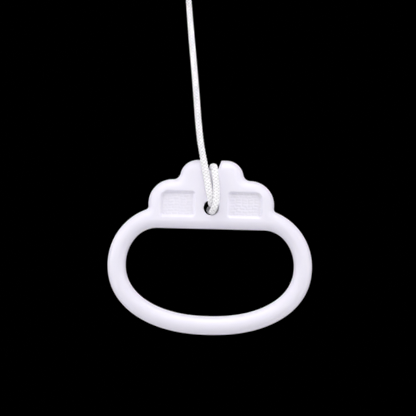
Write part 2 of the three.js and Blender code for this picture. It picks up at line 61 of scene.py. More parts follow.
TAU = 2 * math.pi

# ------------------------------------------------------------------ driving sizes, millimetres
CORD_DIAMETER = 2.75
HANDLE_AT = (9.5, 3.6, -161.3)
HANDLE_TURN = math.radians(1.4)
TUBE = 4.0
# The ring follows corner circles above its middle and superellipses below it.
RING_HALF, RING_CORNER, RING_DROP, RING_POWER = 45.0, 25.9, 30.65, 2.21
OPENING_HALF, OPENING_DROP, OPENING_POWER = 37.05, 22.5, 2.2
SHOULDER_SINK = 0.25
BAR_UNDERSIDE, UNDERSIDE_FILLET = 15.95, 12.5
LOWER_LOBE = (17.0, 26.8, 10.65)
UPPER_LOBE = (6.4, 38.6, 7.55)
SHOULDER_FILLET, LOBE_FILLET = 1.5, 3.2
NOTCH_FLOOR, NOTCH_HALF, NOTCH_FLARE, NOTCH_CORNER = 41.9, 2.52, 0.36, 0.9
NOTCH_EDGE_MIDDLE, NOTCH_EDGE_GROWTH = 0.3, 0.9
HOLE_V, HOLE_RADIUS, HOLE_EDGE = 25.4, 3.35, 0.7
PANEL_U, PANEL_V, PANEL_WIDTH, PANEL_HEIGHT, PANEL_DEPTH = 14.75, 26.8, 14.8, 11.0, 1.4
PANEL_CORNER, PANEL_OUTER_CORNER, PANEL_FLOOR_EDGE, PANEL_LIP = 1.2, 3.0, 1.25, 0.6
DASH_PITCH, DASH_LENGTH, DASH_RELIEF = 1.3, 2.7, 0.12

# ------------------------------------------------------------------ camera
VIEW_CENTRE = (8.71, -136.08)
VIEW_WIDTH = 182.3
VIEW_DISTANCE = 700.0


def make_camera():
    data = bpy.data.cameras.new("camera")
    data.sensor_width = 36.0
    data.lens = data.sensor_width * VIEW_DISTANCE / VIEW_WIDTH
    camera = bpy.data.objects.new("camera", data)
    camera.location = (VIEW_CENTRE[0] * MM, -VIEW_DISTANCE * MM, VIEW_CENTRE[1] * MM)
    camera.rotation_euler = (math.pi / 2, 0, 0)
    bpy.context.scene.collection.objects.link(camera)
    bpy.context.scene.camera = camera


# ------------------------------------------------------------------ mesh helpers
def add_mesh(name, vertices, faces, uvs=None, normals=None, relief=None):
    """A smooth-shaded mesh object from millimetre vertices, with data for each vertex if given."""
    mesh = bpy.data.meshes.new(name)
    mesh.from_pydata((np.asarray(vertices) * MM).tolist(), [], faces)
    mesh.shade_smooth()
    if uvs is not None:
        corner = np.zeros(len(mesh.loops), np.int32)
        mesh.loops.foreach_get("vertex_index", corner)
        layer = mesh.uv_layers.new(name="UVMap")
        layer.data.foreach_set("uv", np.asarray(uvs)[corner].astype(np.float32).ravel())
    if relief is not None:
        heights = mesh.attributes.new("relief", "FLOAT", "POINT")
        heights.data.foreach_set("value", relief.astype(np.float32))
    if normals is not None:
        mesh.normals_split_custom_set_from_vertices(np.asarray(normals).tolist())
    obj = bpy.data.objects.new(name, mesh)
    bpy.context.scene.collection.objects.link(obj)
    return obj


def smooth_route(points, step):
    """Points at even steps along a centripetal Catmull-Rom curve through the given points."""
    points = np.asarray(points, float)
    padded = np.vstack([2 * points[0] - points[1], points, 2 * points[-1] - points[-2]])
    t = np.linspace(0, 1, 24, endpoint=False)[:, None]
    dense = []
    for i in range(len(points) - 1):
        p0, p1, p2, p3 = padded[i:i + 4]
        a, b, c = (max(np.linalg.norm(q - p) ** 0.5, 1e-4) for p, q in ((p0, p1), (p1, p2), (p2, p3)))
        m1 = b * ((p1 - p0) / a - (p2 - p0) / (a + b) + (p2 - p1) / b)
        m2 = b * ((p2 - p1) / b - (p3 - p1) / (b + c) + (p3 - p2) / c)
        cubic = 2 * (p1 - p2) + m1 + m2
        square = 3 * (p2 - p1) - 2 * m1 - m2
        dense.append(cubic * t ** 3 + square * t ** 2 + m1 * t + p1)
    dense = np.vstack(dense + [points[-1:]])
    return even_steps(dense, step)


def lengths_along(points):
    return np.concatenate([[0], np.cumsum(np.linalg.norm(np.diff(points, axis=0), axis=1))])


def even_steps(points, step):
    along = lengths_along(points)
    count = max(2, int(round(along[-1] / step)) + 1)
    wanted = np.linspace(0, along[-1], count)
    return np.stack([np.interp(wanted, along, points[:, k]) for k in range(3)], axis=1)


def unit(vectors):
    return vectors / np.maximum(np.linalg.norm(vectors, axis=-1, keepdims=True), 1e-12)


def cord_frames(points, main):
    """Two directions across a cord's route, at each of its points.

    Along the main part the first is as near +X as it can be. It is carried on from there without
    twist, both ways.
    """
    tangents = unit(np.gradient(points, axis=0))
    sides = unit(np.array((1.0, 0.0, 0.0)) - tangents * tangents[:, :1])
    for k in range(main.stop, len(points)):
        sides[k] = unit(sides[k - 1] - tangents[k] * np.dot(sides[k - 1], tangents[k]))
    for k in range(main.start - 1, -1, -1):
        sides[k] = unit(sides[k + 1] - tangents[k] * np.dot(sides[k + 1], tangents[k]))
    return sides, np.cross(tangents, sides)


# ------------------------------------------------------------------ braided cord
# Strands each way round the cord, the depth of the grooves between them, and the length along the
# cord after which their pattern repeats.
BRAID_CARRIERS = 4
BRAID_RELIEF = 0.46
BRAID_REPEAT = 1.415
# The mesh's points around the cord, and its step along the cord.
AROUND = 60
ALONG = 0.17
# Above this width the grooves get shallower, and over the span they lose this share of their depth.
PRESSED_WIDTH, PRESSED_SPAN, PRESSED_LOSS = 2.9, 0.3, 0.45
# How fast the cord's thickness falls as its width grows, and how far its end caps stand out.
FLATTENING = 0.6
CAP = 0.25


def braid_height(angle, along):
    """Height from 0 to 1 of the braid's surface, and its two coordinates across the strands."""
    around = BRAID_CARRIERS * angle / TAU
    right = around + along / BRAID_REPEAT
    left = around - along / BRAID_REPEAT
    over = (np.floor(right) + np.floor(left)) % 2 < 1
    across = np.where(over, right, left) % 1.0
    length = np.where(over, left, right) % 1.0
    height = np.sin(math.pi * across) ** 0.7 * (0.4 + 0.6 * np.sin(math.pi * length))
    return height, right, left


def braided_cord(name, route, frames, spread, start, end):
    """A braided cord over one stretch of a route, between two lengths along it.

    Spread is its width along the first of its frames' directions at each route point. It is
    flattened to match, and its strands lie flatter where it is pressed.
    """
    along = lengths_along(route)
    sides, ups = frames
    count = max(3, int(round((end - start) / ALONG)) + 1)
    wanted = np.linspace(start, end, count)

    def at(values):
        return np.stack([np.interp(wanted, along, values[:, k]) for k in range(3)], axis=1)

    centre, side, up = at(route), unit(at(sides)), unit(at(ups))
    wide = np.interp(wanted, along, spread)
    deep = np.minimum(CORD_DIAMETER, CORD_DIAMETER ** (1 + FLATTENING) / wide ** FLATTENING)
    angles = np.arange(AROUND) * TAU / AROUND
    height, right, left = braid_height(angles[None, :], wanted[:, None])
    pressed = np.clip((wide - PRESSED_WIDTH) / PRESSED_SPAN, 0, 1)
    sunk = BRAID_RELIEF * (1 - height) * (1 - PRESSED_LOSS * pressed[:, None])
    across = (wide[:, None] / 2 - sunk) * np.cos(angles)
    through = (deep[:, None] / 2 - sunk) * np.sin(angles)
    vertices = centre[:, None] + side[:, None] * across[..., None] + up[:, None] * through[..., None]
    vertices = vertices.reshape(-1, 3)
    uvs = np.stack([right, left], axis=-1).reshape(-1, 2) / BRAID_CARRIERS
    i = np.arange(count - 1)[:, None] * AROUND
    j = np.arange(AROUND)[None, :]
    k = (j + 1) % AROUND
    faces = np.stack([i + j, i + AROUND + j, i + AROUND + k, i + k], axis=-1).reshape(-1, 4).tolist()
    last = (count - 1) * AROUND
    tips = [centre[0] - CAP * np.cross(side[0], up[0]), centre[-1] + CAP * np.cross(side[-1], up[-1])]
    for a in range(AROUND):
        b = (a + 1) % AROUND
        faces.append([b, len(vertices), a])
        faces.append([last + a, len(vertices) + 1, last + b])
    vertices = np.vstack([vertices, tips])
    uvs = np.vstack([uvs, uvs[:1], uvs[-1:]])
    # The braid's height is kept for the cord's painted shade in its grooves.
    relief = np.append(height.ravel(), (0.0, 0.0))
    return add_mesh(name, vertices, faces, uvs, relief=relief)


# The cord's middle line down through the switch to just above the handle's front face.
PULL_ROUTE = [
    (0.0, 0.0, -10.0), (0.0, 0.0, -20.0), (0.0, 0.0, -30.0), (0.0, 0.0, -38.0),
    (0.1, -0.02, -42.8), (0.7, -0.25, -51.0), (1.65, -0.6, -63.0), (2.7, -1.0, -75.0),
    (3.6, -1.35, -86.0), (4.45, -1.7, -97.6), (5.35, -1.85, -106.4), (6.1, -2.0, -111.2),
]
# Down the front, through the hole, up the back, over the notch, down the front again and into the
# hole. Each point is x, the distance behind the handle's middle plane, and z.
WRAP_ROUTE = [
    (6.38, -5.4, -112.8), (7.74, -5.5, -120.5), (8.8, -5.5, -126.0), (9.48, -5.55, -129.5),
    (9.95, -5.15, -132.3), (10.2, -3.4, -134.2), (10.25, 0.0, -134.6), (10.25, 3.4, -134.2),
    (10.3, 5.15, -132.3), (10.35, 5.55, -129.5), (10.45, 5.5, -125.0), (10.55, 5.5, -121.8),
    (10.65, 4.75, -119.3), (10.8, 2.75, -117.95), (11.0, 0.0, -117.7), (11.25, -2.75, -117.95),
    (11.5, -4.75, -119.3), (11.95, -5.55, -121.8), (12.28, -5.85, -125.5), (12.42, -6.35, -129.0),
    (12.37, -7.1, -132.0), (12.1, -7.5, -134.0), (11.5, -7.15, -135.9), (10.85, -5.6, -137.2),
    (10.5, -3.4, -137.7), (10.35, 0.0, -137.75), (10.35, 4.0, -137.75),
]
# How wide the cord is at heights down its free part, and at points of the wrap by their number.
FREE_SPREAD = [(-10.0, 2.55), (-47.0, 2.62), (-62.0, 2.8), (-90.0, 2.95)]
WRAP_SPREAD = {
    0: 2.95, 1: 3.3, 3: 3.35, 6: 2.8, 8: 3.2, 11: 3.2,
    13: 3.1, 15: 3.3, 17: 3.15, 20: 3.0, 22: 3.0, 25: 2.75,
}
# An overhand knot tied behind the hole, from where the cord leaves the handle to its short tail:
# offsets from the cord's last point, before the knot is drawn tight.
KNOT_ROUTE = [
    (0.0, 0.0, 0.0), (0.0, 1.6, 0.0), (-1.2, 3.2, -0.3), (-2.9, 4.4, 0.6), (-2.1, 5.8, 2.4),
    (0.7, 5.9, 2.9), (3.1, 4.6, 1.6), (3.7, 2.9, -0.9), (2.1, 2.2, -3.0), (-0.4, 2.9, -3.3),
    (-1.7, 4.6, -2.0), (-0.5, 6.6, -0.2), (1.4, 7.3, 0.9), (3.1, 7.0, 2.4), (4.1, 6.4, 4.2),
]
# The top knot's size beside the end knot's, and how close each knot's strands lie, in diameters.
TOP_KNOT_SCALE = 0.85
TOP_KNOT_APART, END_KNOT_APART = 0.8, 0.93
KNOT_STEP = 0.55
ROUTE_STEP = 0.25
ROUTE_SMOOTHING = 6
# Where the piece through the switch meets the piece below it, just under the outlet.
SPLIT_Z = -47.0


def tightened(points, diameter, rounds=500):
    """Draws a knot's route smooth while its strands keep a diameter apart. Both ends stay put."""
    p = even_steps(np.asarray(points, float), KNOT_STEP)
    step = lengths_along(p)[-1] / (len(p) - 1)
    index = np.arange(len(p))
    apart = np.abs(index[:, None] - index[None, :]) * step > 1.9 * diameter
    for _ in range(rounds):
        middle = (p[:-2] + p[2:]) / 2 - p[1:-1]
        p[1:-1] += 0.3 * middle
        offset = p[:, None, :] - p[None, :, :]
        distance = np.linalg.norm(offset, axis=2) + 1e-9
        overlap = np.where(apart, np.maximum(diameter - distance, 0), 0)
        push = (offset / distance[..., None] * overlap[..., None]).sum(axis=1) * 0.35
        p[2:-1] += push[2:-1]
    return p


def whole_route():
    """The whole cord's route, frames and widths, and the lengths along it where its pieces meet."""
    wrap = [(x, y + HANDLE_AT[1], z) for x, y, z in WRAP_ROUTE]
    last = np.array(wrap[-1])
    first = np.array(PULL_ROUTE[0])
    loops = np.array(KNOT_ROUTE)
    top_knot = tightened(first + TOP_KNOT_SCALE * loops[:, [0, 2, 1]], CORD_DIAMETER * TOP_KNOT_APART)
    end_knot = tightened(last + loops, CORD_DIAMETER * END_KNOT_APART)
    main = smooth_route(PULL_ROUTE + wrap, ROUTE_STEP)
    route = even_steps(np.vstack([top_knot[:0:-1], main, end_knot[1:]]), ROUTE_STEP)
    for _ in range(ROUTE_SMOOTHING):
        route[1:-1] = route[1:-1] / 2 + (route[:-2] + route[2:]) / 4
    along = lengths_along(route)

    def reached(point):
        return along[np.linalg.norm(route - point, axis=1).argmin()]

    marks = [(along[np.argmax(route[:, 2] <= z)], width) for z, width in FREE_SPREAD]
    marks += [(reached(wrap[i]), width) for i, width in WRAP_SPREAD.items()]
    spread = np.interp(along, *zip(*marks))
    upper_end = along[np.argmax(route[:, 2] < SPLIT_Z)]
    cuts = [0.0, reached(first), upper_end, reached(last), along[-1]]
    main = slice(*np.searchsorted(along, (cuts[1], cuts[3])))
    return route, cord_frames(route, main), spread, cuts


def make_cords():
    route, frames, spread, cuts = whole_route()
    names = ("top_knot", "cord_through_switch", "braided_pull_cord", "end_knot")
    spans = zip(names, cuts, cuts[1:])
    pieces = [braided_cord(name, route, frames, spread, start, end) for name, start, end in spans]
    top, upper, main, knot = pieces
    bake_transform(upper)
    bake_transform(main)
    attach(top, "cord_top")
    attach(knot, "handle")
    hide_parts("cord_top_knot")
    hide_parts("cord_stub")
    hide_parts("pull_cord", "cord_wrap")
    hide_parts("cord_end_knot")
    return pieces


# ------------------------------------------------------------------ handle outline
def arc(circle, start, end, steps):
    """Points on an arc by the shorter way round."""
    sweep = math.atan2(math.sin(end - start), math.cos(end - start))
    angles = start + sweep * np.linspace(0, 1, steps + 1)
    return [(circle[0] + circle[2] * math.cos(a), circle[1] + circle[2] * math.sin(a)) for a in angles]


def bearing(origin, target):
    return math.atan2(target[1] - origin[1], target[0] - origin[0])


def fillet_outside(first, second, radius):
    """The circle that nestles in the corner outside two overlapping circles, on their right."""
    reach = first[2] + radius
    distance = math.hypot(second[0] - first[0], second[1] - first[1])
    along = (distance ** 2 + reach ** 2 - (second[2] + radius) ** 2) / (2 * distance)
    angle = bearing(first, second) - math.acos(along / reach)
    return (first[0] + reach * math.cos(angle), first[1] + reach * math.sin(angle), radius)


def superellipse_quarter(half_width, drop, power, steps):
    angles = np.linspace(0, math.pi / 2, steps + 1)[::-1]
    return [(half_width * max(math.cos(a), 0) ** (2 / power), -drop * math.sin(a) ** (2 / power))
            for a in angles]


def mirrored(right_half):
    right = np.array(right_half)
    return np.vstack([right, right[::-1] * (-1, 1)])


def handle_outline():
    corner = (RING_HALF - RING_CORNER, -SHOULDER_SINK, RING_CORNER)
    low = fillet_outside(corner, LOWER_LOBE, SHOULDER_FILLET)
    high = fillet_outside(LOWER_LOBE, UPPER_LOBE, LOBE_FILLET)
    right = superellipse_quarter(RING_HALF, RING_DROP, RING_POWER, 300)
    right += arc(corner, 0, bearing(corner, low), 120)
    right += arc(low, bearing(low, corner), bearing(low, LOWER_LOBE), 30)
    right += arc(LOWER_LOBE, bearing(LOWER_LOBE, low), bearing(LOWER_LOBE, high), 100)
    right += arc(high, bearing(high, LOWER_LOBE), bearing(high, UPPER_LOBE), 30)
    right += arc(UPPER_LOBE, bearing(UPPER_LOBE, high), math.pi / 2, 80)
    return mirrored(right)


def opening_outline():
    radius = RING_CORNER - (RING_HALF - OPENING_HALF)
    corner = (RING_HALF - RING_CORNER, 0.0, radius)
    rise = BAR_UNDERSIDE - UNDERSIDE_FILLET
    offset = math.sqrt((radius - UNDERSIDE_FILLET) ** 2 - rise ** 2)
    fillet = (corner[0] + offset, rise, UNDERSIDE_FILLET)
    right = superellipse_quarter(OPENING_HALF, OPENING_DROP, OPENING_POWER, 260)
    right += arc(corner, 0, bearing(corner, fillet), 60)
    right += arc(fillet, bearing(corner, fillet), math.pi / 2, 60)
    return mirrored(right)


def outline_distance(outline, points):
    """Signed distance from points to a closed outline, negative inside."""
    a = outline
    b = np.roll(outline, -1, axis=0)
    keep = np.linalg.norm(b - a, axis=1) > 1e-9
    a, b = a[keep].astype(np.float32), b[keep].astype(np.float32)
    edge = b - a
    squared = (edge ** 2).sum(axis=1)
    best = np.empty(len(points), np.float32)
    inside = np.zeros(len(points), bool)
    for chunk in np.array_split(np.arange(len(points)), max(1, len(points) // 6000)):
        p = points[chunk].astype(np.float32)
        du = p[:, None, 0] - a[None, :, 0]
        dv = p[:, None, 1] - a[None, :, 1]
        t = np.clip((du * edge[:, 0] + dv * edge[:, 1]) / squared, 0, 1)
        best[chunk] = np.sqrt(((du - t * edge[:, 0]) ** 2 + (dv - t * edge[:, 1]) ** 2).min(axis=1))
        below = a[None, :, 1] <= p[:, None, 1]
        crosses = below != (b[None, :, 1] <= p[:, None, 1])
        slope = np.where(edge[:, 1] == 0, 1, edge[:, 1])
        left = p[:, None, 0] < a[None, :, 0] + dv * edge[:, 0] / slope
        inside[chunk] = ((crosses & left).sum(axis=1) % 2) == 1
    return np.where(inside, -best, best)


def round_max(a, b, radius):
    """The larger of two fields, with the edge where they meet rounded."""
    outer = np.hypot(np.maximum(a + radius, 0), np.maximum(b + radius, 0))
    return np.minimum(-radius, np.maximum(a, b)) + outer


def rounded_box_2d(u, v, half_u, half_v, radius):
    qu = np.abs(u) - half_u + radius
    qv = np.abs(v) - half_v + radius
    return np.hypot(np.maximum(qu, 0), np.maximum(qv, 0)) + np.minimum(np.maximum(qu, qv), 0) - radius


class HandleField:
    """The handle as a field in its own flat axes u, v and depth w, in millimetres: negative inside.

    The outline's distances are worked out once, on a grid of u and v, and smoothed a little.
    """

    def __init__(self):
        self.step = 0.25
        self.low = np.array([-50.0, -36.0])
        us = np.arange(self.low[0], 50.1, self.step)
        vs = np.arange(self.low[1], 52.1, self.step)
        grid = np.stack(np.meshgrid(us, vs, indexing="ij"), axis=-1).reshape(-1, 2)
        half = grid[:, 0] >= 0
        values = np.empty(len(grid), np.float32)
        outer = outline_distance(handle_outline(), grid[half])
        inner = outline_distance(opening_outline(), grid[half])
        values[half] = np.maximum(outer, -inner)
        table = values.reshape(len(us), len(vs))
        middle = int(round(-self.low[0] / self.step))
        table[:middle] = table[:middle:-1]
        for _ in range(3):
            table = self.blurred(table)
        self.table = table

    @staticmethod
    def blurred(table):
        padded = np.pad(table, 1, mode="edge")
        across = (padded[:-2] + 2 * padded[1:-1] + padded[2:]) / 4
        return (across[:, :-2] + 2 * across[:, 1:-1] + across[:, 2:]) / 4

    @staticmethod
    def scattered(values):
        """An irregular number from 0 to 1 for each value, the same every time."""
        return np.sin(12.9898 * values + 1.3) * 43758.5453 % 1.0

    def outline(self, u, v):
        x = (u - self.low[0]) / self.step
        y = (v - self.low[1]) / self.step
        i = np.clip(x.astype(int), 0, self.table.shape[0] - 2)
        j = np.clip(y.astype(int), 0, self.table.shape[1] - 2)
        fx, fy = x - i, y - j
        t = self.table
        low = t[i, j] * (1 - fx) + t[i + 1, j] * fx
        high = t[i, j + 1] * (1 - fx) + t[i + 1, j + 1] * fx
        return low * (1 - fy) + high * fy

    def dashes(self, u, v):
        """Height from 0 to 1 of the panels' grain: wavy rows of short dashes, each its own height."""
        row = v / DASH_PITCH + 0.12 * np.sin(0.9 * u)
        dash = u / DASH_LENGTH + self.scattered(np.floor(row))
        grain = np.minimum(np.abs(np.sin(math.pi * row)), 1.4 * np.abs(np.sin(math.pi * dash)))
        return grain * (0.4 + 0.6 * self.scattered(6.1 * np.floor(row) + 2.9 * np.floor(dash)))

    def panels(self, u, v, w):
        """The four recesses, two on each face."""
        across = np.abs(u) - PANEL_U
        above = v - PANEL_V
        corner = np.where((across > 0) & (above > 0), PANEL_OUTER_CORNER, PANEL_CORNER)
        sides = rounded_box_2d(across, above, PANEL_WIDTH / 2, PANEL_HEIGHT / 2, corner)
        floor = TUBE - PANEL_DEPTH + DASH_RELIEF * self.dashes(u, v) - np.abs(w)
        return round_max(sides, floor, PANEL_FLOOR_EDGE)

    def __call__(self, u, v, w):
        inside = -self.outline(u, v)
        body = np.hypot(np.maximum(TUBE - inside, 0), w) - TUBE
        hole = HOLE_RADIUS - np.hypot(u, v - HOLE_V)
        body = round_max(body, hole, HOLE_EDGE)
        flank = np.abs(u) - NOTCH_HALF - (v - NOTCH_FLOOR) * NOTCH_FLARE
        notch = -round_max(flank, NOTCH_FLOOR - v, NOTCH_CORNER)
        edge = NOTCH_EDGE_MIDDLE + NOTCH_EDGE_GROWTH * np.clip(np.abs(w) / TUBE, 0, 1) ** 2
        body = round_max(body, notch, edge)
        return round_max(body, -self.panels(u, v, w), PANEL_LIP)


# ------------------------------------------------------------------ surface of a field
def graded(stops):
    """Grid lines from (start, step) stops; the last stop is the end."""
    lines = []
    for (start, step), (end, _) in zip(stops[:-1], stops[1:]):
        lines.append(np.linspace(start, end, max(1, round((end - start) / step)) + 1)[:-1])
    return np.concatenate(lines + [[stops[-1][0]]])


def surface_net(field, axes):
    """Vertices and quads of a field's zero surface on a rectangular grid."""
    grid = np.meshgrid(*axes, indexing="ij")
    values = field(*grid)
    inside = values < 0
    shape = tuple(n - 1 for n in inside.shape)
    corners = [(a, b, c) for a in (0, 1) for b in (0, 1) for c in (0, 1)]

    def part(array, a, b, c):
        return array[a:a + shape[0], b:b + shape[1], c:c + shape[2]]

    count = sum(part(inside, *corner).astype(np.int8) for corner in corners)
    active = (count > 0) & (count < 8)
    number = np.full(shape, -1, np.int64)
    number[active] = np.arange(active.sum())
    cells = np.argwhere(active)
    total = np.zeros((len(cells), 3))
    crossings = np.zeros(len(cells))
    for corner in corners:
        for axis in range(3):
            if corner[axis]:
                continue
            other = list(corner)
            other[axis] = 1
            p = tuple((cells + corner).T)
            q = tuple((cells + other).T)
            fp, fq = values[p], values[q]
            crossing = (fp < 0) != (fq < 0)
            t = np.where(crossing, fp / np.where(crossing, fp - fq, 1), 0)
            start = np.stack([axes[k][p[k]] for k in range(3)], axis=1)
            end = np.stack([axes[k][q[k]] for k in range(3)], axis=1)
            total += np.where(crossing[:, None], start + (end - start) * t[:, None], 0)
            crossings += crossing
    vertices = total / crossings[:, None]
    quads = []
    for axis in range(3):
        first, second = [(1, 2), (2, 0), (0, 1)][axis]
        low = [slice(0, n) for n in inside.shape]
        high = [slice(0, n) for n in inside.shape]
        low[axis], high[axis] = slice(0, -1), slice(1, None)
        change = inside[tuple(low)] != inside[tuple(high)]
        edges = np.argwhere(change)
        keep = (edges[:, first] > 0) & (edges[:, second] > 0)
        keep &= (edges[:, first] < shape[first]) & (edges[:, second] < shape[second])
        edges = edges[keep]
        ring = []
        for da, db in ((-1, -1), (0, -1), (0, 0), (-1, 0)):
            cell = edges.copy()
            cell[:, first] += da
            cell[:, second] += db
            ring.append(number[tuple(cell.T)])
        quad = np.stack(ring, axis=1)
        flipped = ~inside[tuple(edges.T)]
        quad[flipped] = quad[flipped][:, ::-1]
        quads.append(quad)
    return vertices, np.vstack(quads)


def gradient(field, points, step=0.04):
    slopes = []
    for k in range(3):
        offset = np.zeros(3)
        offset[k] = step
        slopes.append((field(*(points + offset).T) - field(*(points - offset).T)) / (2 * step))
    return np.stack(slopes, axis=1)


def field_mesh(field, axes, relax=3):
    """A clean mesh of a field's surface: the net, evened out and drawn onto the surface."""
    points, quads = surface_net(field, axes)
    edges = np.vstack([quads[:, [k, (k + 1) % 4]] for k in range(4)])
    degree = np.bincount(edges.ravel(), minlength=len(points))
    for turn in range(relax + 1):
        for _ in range(2):
            slope = gradient(field, points)
            size = np.maximum((slope ** 2).sum(axis=1), 0.05)
            points = points - slope * np.clip(field(*points.T) / size, -0.3, 0.3)[:, None]
        if turn == relax:
            break
        total = np.zeros_like(points)
        for k in range(3):
            total[:, k] = np.bincount(edges[:, 0], points[edges[:, 1], k], len(points))
            total[:, k] += np.bincount(edges[:, 1], points[edges[:, 0], k], len(points))
        normal = unit(slope)
        move = total / degree[:, None] - points
        move -= normal * (move * normal).sum(axis=1)[:, None]
        points = points + 0.5 * move
    return points, quads, unit(gradient(field, points))


# The handle's grid: (start, step) stops for half its width, its height and half its depth, finer at
# the panels' edges and the faces. The shift keeps the grid's lines off the handle's middle planes.
HALF_WIDTH_STOPS = [(0, 0.3), (5.4, 0.3), (6.6, 0.2), (8.6, 0.34), (20.6, 0.2), (23.2, 0.42), (46.2, 1)]
HEIGHT_STOPS = [(-32, 0.42), (19.2, 0.3), (20.4, 0.2), (22.4, 0.28), (31.2, 0.2), (33.4, 0.32), (47.6, 1)]
HALF_DEPTH_STOPS = [(0, 0.4), (2.2, 0.16), (4.6, 1)]
GRID_SHIFT = (0.013, 0.007, 0.005)


def both_ways(lines):
    """Grid lines mirrored about zero."""
    return np.concatenate([-lines[:0:-1], lines])


def make_handle():
    axes = (both_ways(graded(HALF_WIDTH_STOPS)), graded(HEIGHT_STOPS), both_ways(graded(HALF_DEPTH_STOPS)))
    axes = [lines + shift for lines, shift in zip(axes, GRID_SHIFT)]
    points, quads, normals = field_mesh(HandleField(), axes)
    cosine, sine = math.cos(HANDLE_TURN), math.sin(HANDLE_TURN)

    def placed(local):
        u, v, w = local.T
        return np.stack([u * cosine + v * sine, w, v * cosine - u * sine], axis=1)

    vertices = placed(points) + np.array(HANDLE_AT)
    handle = add_mesh("moulded_handle", vertices, quads[:, ::-1].tolist(), normals=placed(normals))
    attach(handle, "handle")
    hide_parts("pull_handle")
    return handle


# ------------------------------------------------------------------ turned and cut solids
def outward(obj):
    """Points every face out of the solid."""
    shape = bmesh.new()
    shape.from_mesh(obj.data)
    bmesh.ops.recalc_face_normals(shape, faces=shape.faces)
    shape.to_mesh(obj.data)
    shape.free()
    return obj


def filleted(points, steps=5):
    """A profile of (radius, height, fillet) corners, with arcs in place of the corners."""
    rounded = []
    for i, (x, y, fillet) in enumerate(points):
        here = np.array((x, y))
        if fillet <= 0 or i in (0, len(points) - 1):
            rounded.append(here)
            continue
        back = np.array(points[i - 1][:2]) - here
        ahead = np.array(points[i + 1][:2]) - here
        reach = min(fillet, np.linalg.norm(back) * 0.48, np.linalg.norm(ahead) * 0.48)
        start, end = here + unit(back) * reach, here + unit(ahead) * reach
        for t in np.linspace(0, 1, steps + 1):
            rounded.append((1 - t) ** 2 * start + 2 * t * (1 - t) * here + t ** 2 * end)
    return np.array(rounded)


def turned(name, profile, around=144):
    """A profile turned about Z. It starts and ends on the axis, or else closes on itself."""
    profile = np.asarray(profile, float)
    on_axis = profile[0, 0] < 1e-6
    angles = np.arange(around) * TAU / around
    rows = profile[1:-1] if on_axis else profile
    ring = np.stack([np.cos(angles), np.sin(angles)], axis=-1)
    flat = rows[:, None, :1] * ring[None]
    heights = np.repeat(rows[:, 1:, None], around, axis=1)
    vertices = np.concatenate([flat, heights], axis=-1).reshape(-1, 3)
    count = len(rows)
    i = np.arange(count - 1 if on_axis else count)[:, None]
    j = np.arange(around)[None, :]
    k = (j + 1) % around
    below, above = i * around, ((i + 1) % count) * around
    faces = np.stack([below + j, below + k, above + k, above + j], axis=-1).reshape(-1, 4).tolist()
    if on_axis:
        tips = np.array([(0, 0, profile[0, 1]), (0, 0, profile[-1, 1])])
        bottom, top = len(vertices), len(vertices) + 1
        last = (count - 1) * around
        for a in range(around):
            b = (a + 1) % around
            faces += [[b, a, bottom], [last + a, last + b, top]]
        vertices = np.vstack([vertices, tips])
    return outward(add_mesh(name, vertices, faces))


def rod(x, y, span, radius, around=64):
    """An upright cylinder between two heights."""
    profile = [(0, span[0]), (radius, span[0]), (radius, span[1]), (0, span[1])]
    made = turned("rod", profile, around)
    made.data.transform(Matrix.Translation((x * MM, y * MM, 0)))
    return made


def slab(outline, span):
    """A closed outline in X and Y, raised between two heights."""
    outline = np.asarray(outline, float)
    count = len(outline)
    vertices = np.vstack([np.column_stack([outline, np.full(count, z)]) for z in span])
    faces = [list(range(count)), list(range(count, 2 * count))]
    faces += [[i, (i + 1) % count, count + (i + 1) % count, count + i] for i in range(count)]
    return outward(add_mesh("slab", vertices, faces))


def block(xs, ys, zs):
    return slab([(xs[0], ys[0]), (xs[1], ys[0]), (xs[1], ys[1]), (xs[0], ys[1])], zs)


def rounded_slab(x, y, width, depth, radius, span, steps=12):
    """A rectangle with rounded corners, raised between two heights."""
    outline = []
    for quarter, (sx, sy) in enumerate(((1, 1), (-1, 1), (-1, -1), (1, -1))):
        for t in np.linspace(0, math.pi / 2, steps + 1):
            angle = quarter * math.pi / 2 + t
            outline.append((x + sx * (width / 2 - radius) + radius * math.cos(angle),
                            y + sy * (depth / 2 - radius) + radius * math.sin(angle)))
    return slab(outline, span)


def combined(obj, operation, others):
    """The solid joined to, cut by or kept within others, which are used up."""
    for other in others:
        step = obj.modifiers.new("combine", "BOOLEAN")
        step.operation = operation
        step.solver = "EXACT"
        step.object = other
    evaluated = obj.evaluated_get(bpy.context.evaluated_depsgraph_get())
    mesh = bpy.data.meshes.new_from_object(evaluated)
    obj.modifiers.clear()
    obj.data = mesh
    for other in others:
        bpy.data.objects.remove(other)
    return obj


# Degrees between two faces from which their edge counts as sharp.
SHARP_EDGE = 35


def softened(obj, width, segments=3):
    """Rounds the sharp edges and shades the rest smooth."""
    obj.data.shade_smooth()
    weld = obj.modifiers.new("weld", "WELD")
    weld.merge_threshold = 0.002 * MM
    bevel = obj.modifiers.new("soft_edges", "BEVEL")
    bevel.width = width * MM
    bevel.segments = segments
    bevel.limit_method = "ANGLE"
    bevel.angle_limit = math.radians(SHARP_EDGE)
    bevel.harden_normals = True
    bevel.use_clamp_overlap = True
    return obj


